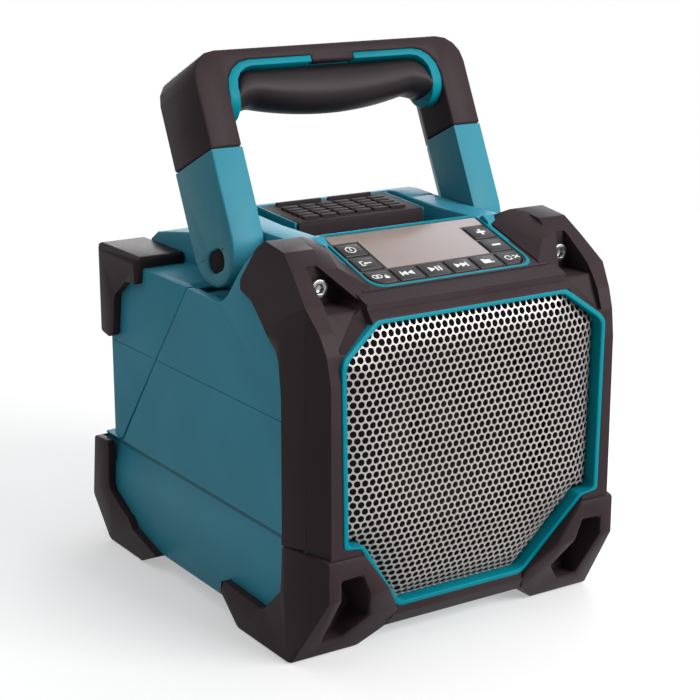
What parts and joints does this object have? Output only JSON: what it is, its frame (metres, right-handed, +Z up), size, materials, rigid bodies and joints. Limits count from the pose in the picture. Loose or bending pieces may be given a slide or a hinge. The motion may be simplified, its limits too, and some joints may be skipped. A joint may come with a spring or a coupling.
{
  "type": "jobsite bluetooth speaker",
  "caption": "Cube-like cordless loudspeaker with a framed perforated grille, sloping key panel, swinging carry handle, hinged battery cover and corner bumpers.",
  "frame": {"origin": "middle of the bounding box at floor level", "axes": "+Z up, front grille faces -Y, +X to the right seen from the front"},
  "size_m": [0.163, 0.2128, 0.2485],
  "materials": {
    "shell_teal": "fine moulded texture",
    "arm_teal": "fine moulded texture",
    "trim_teal": "satin moulded",
    "frame_black": "matt moulded",
    "bumper_rubber": "matt elastomer",
    "grip_rubber": "soft matt elastomer",
    "grille_metal": "silver paint on perforated steel",
    "baffle_black": "matt moulded",
    "basket_metal": "black stove enamel",
    "magnet_steel": "zinc plated",
    "cone_paper": "pressed fibre",
    "surround_rubber": "matt elastomer",
    "panel_black": "satin",
    "lens_smoke": "polished smoked window",
    "lcd_grey": "display glass",
    "board_green": "solder mask",
    "key_rubber": "silicone with printed signs",
    "screw_steel": "bright plated",
    "pin_steel": "ground",
    "bay_black": "matt moulded",
    "bolt_black": "blackened"
  },
  "bodies": {
    "body": {"main_shell": "shell_teal", "front_frame": "frame_black", "front_sill": "frame_black", "front_foot_left": "bumper_rubber", "front_foot_right": "bumper_rubber", "rear_foot_left": "bumper_rubber", "rear_foot_right": "bumper_rubber", "grille_ring": "trim_teal", "speaker_grille": "grille_metal", "baffle": "baffle_black", "woofer_basket": "basket_metal", "woofer_magnet": "magnet_steel", "woofer_surround": "surround_rubber", "panel_tray": "panel_black", "panel_rim": "trim_teal", "display_lens": "lens_smoke", "display_module": "lcd_grey", "key_board": "board_green", "frame_screws": "screw_steel", "main_board": "board_green", "battery_bay": "bay_black", "battery_terminal": "bay_black", "cover_hinge_pin": "pin_steel", "latch_catch": "bay_black"},
    "cover": {"battery_cover": "shell_teal", "upper_bumper_left": "bumper_rubber", "upper_bumper_right": "bumper_rubber", "latch_pin": "pin_steel"},
    "latch": {"latch_lid": "trim_teal", "latch_pad": "frame_black"},
    "handle": {"handle_arm_left": "arm_teal", "handle_arm_right": "arm_teal", "handle_crown": "frame_black", "handle_core": "trim_teal", "handle_grip": "grip_rubber", "pivot_bolt_left": "bolt_black", "pivot_bolt_right": "bolt_black"},
    "cone": {"woofer_cone": "cone_paper"},
    "key_power": {"key_power": "key_rubber"},
    "key_source": {"key_source": "key_rubber"},
    "key_pair": {"key_pair": "key_rubber"},
    "key_previous": {"key_previous": "key_rubber"},
    "key_play": {"key_play": "key_rubber"},
    "key_next": {"key_next": "key_rubber"},
    "key_folder": {"key_folder": "key_rubber"},
    "key_repeat": {"key_repeat": "key_rubber"},
    "key_plus": {"key_plus": "key_rubber"},
    "key_minus": {"key_minus": "key_rubber"}
  },
  "joints": [
    {"name": "handle_swing", "type": "hinge", "parent": "body", "child": "handle", "pos_m": [0, -0.01, 0.1595], "axis": [-1, 0, 0], "range_deg": [-58, 47]},
    {"name": "cover_swing", "type": "hinge", "parent": "body", "child": "cover", "pos_m": [0, 0.1015, 0.0575], "axis": [-1, 0, 0], "range_deg": [0, 85]},
    {"name": "latch_lift", "type": "hinge", "parent": "cover", "child": "latch", "pos_m": [0, 0.0138, 0.1684], "axis": [-1, 0, 0], "range_deg": [0, 40]},
    {"name": "cone_stroke", "type": "slide", "parent": "body", "child": "cone", "axis": [0, -1, 0], "range_m": [-0.0025, 0.0025], "stiffness_N_per_m": 1200},
    {"name": "key_power_press", "type": "slide", "parent": "body", "child": "key_power", "axis": [0, 0.309, -0.9511], "range_m": [0, 0.001], "stiffness_N_per_m": 400, "springref_m": -0.0005},
    {"name": "key_source_press", "type": "slide", "parent": "body", "child": "key_source", "axis": [0, 0.309, -0.9511], "range_m": [0, 0.001], "stiffness_N_per_m": 400, "springref_m": -0.0005},
    {"name": "key_pair_press", "type": "slide", "parent": "body", "child": "key_pair", "axis": [0, 0.309, -0.9511], "range_m": [0, 0.001], "stiffness_N_per_m": 400, "springref_m": -0.0005},
    {"name": "key_previous_press", "type": "slide", "parent": "body", "child": "key_previous", "axis": [0, 0.309, -0.9511], "range_m": [0, 0.001], "stiffness_N_per_m": 400, "springref_m": -0.0005},
    {"name": "key_play_press", "type": "slide", "parent": "body", "child": "key_play", "axis": [0, 0.309, -0.9511], "range_m": [0, 0.001], "stiffness_N_per_m": 400, "springref_m": -0.0005},
    {"name": "key_next_press", "type": "slide", "parent": "body", "child": "key_next", "axis": [0, 0.309, -0.9511], "range_m": [0, 0.001], "stiffness_N_per_m": 400, "springref_m": -0.0005},
    {"name": "key_folder_press", "type": "slide", "parent": "body", "child": "key_folder", "axis": [0, 0.309, -0.9511], "range_m": [0, 0.001], "stiffness_N_per_m": 400, "springref_m": -0.0005},
    {"name": "key_repeat_press", "type": "slide", "parent": "body", "child": "key_repeat", "axis": [0, 0.309, -0.9511], "range_m": [0, 0.001], "stiffness_N_per_m": 400, "springref_m": -0.0005},
    {"name": "key_plus_press", "type": "slide", "parent": "body", "child": "key_plus", "axis": [0, 0.309, -0.9511], "range_m": [0, 0.001], "stiffness_N_per_m": 400, "springref_m": -0.0005},
    {"name": "key_minus_press", "type": "slide", "parent": "body", "child": "key_minus", "axis": [0, 0.309, -0.9511], "range_m": [0, 0.001], "stiffness_N_per_m": 400, "springref_m": -0.0005}
  ]
}
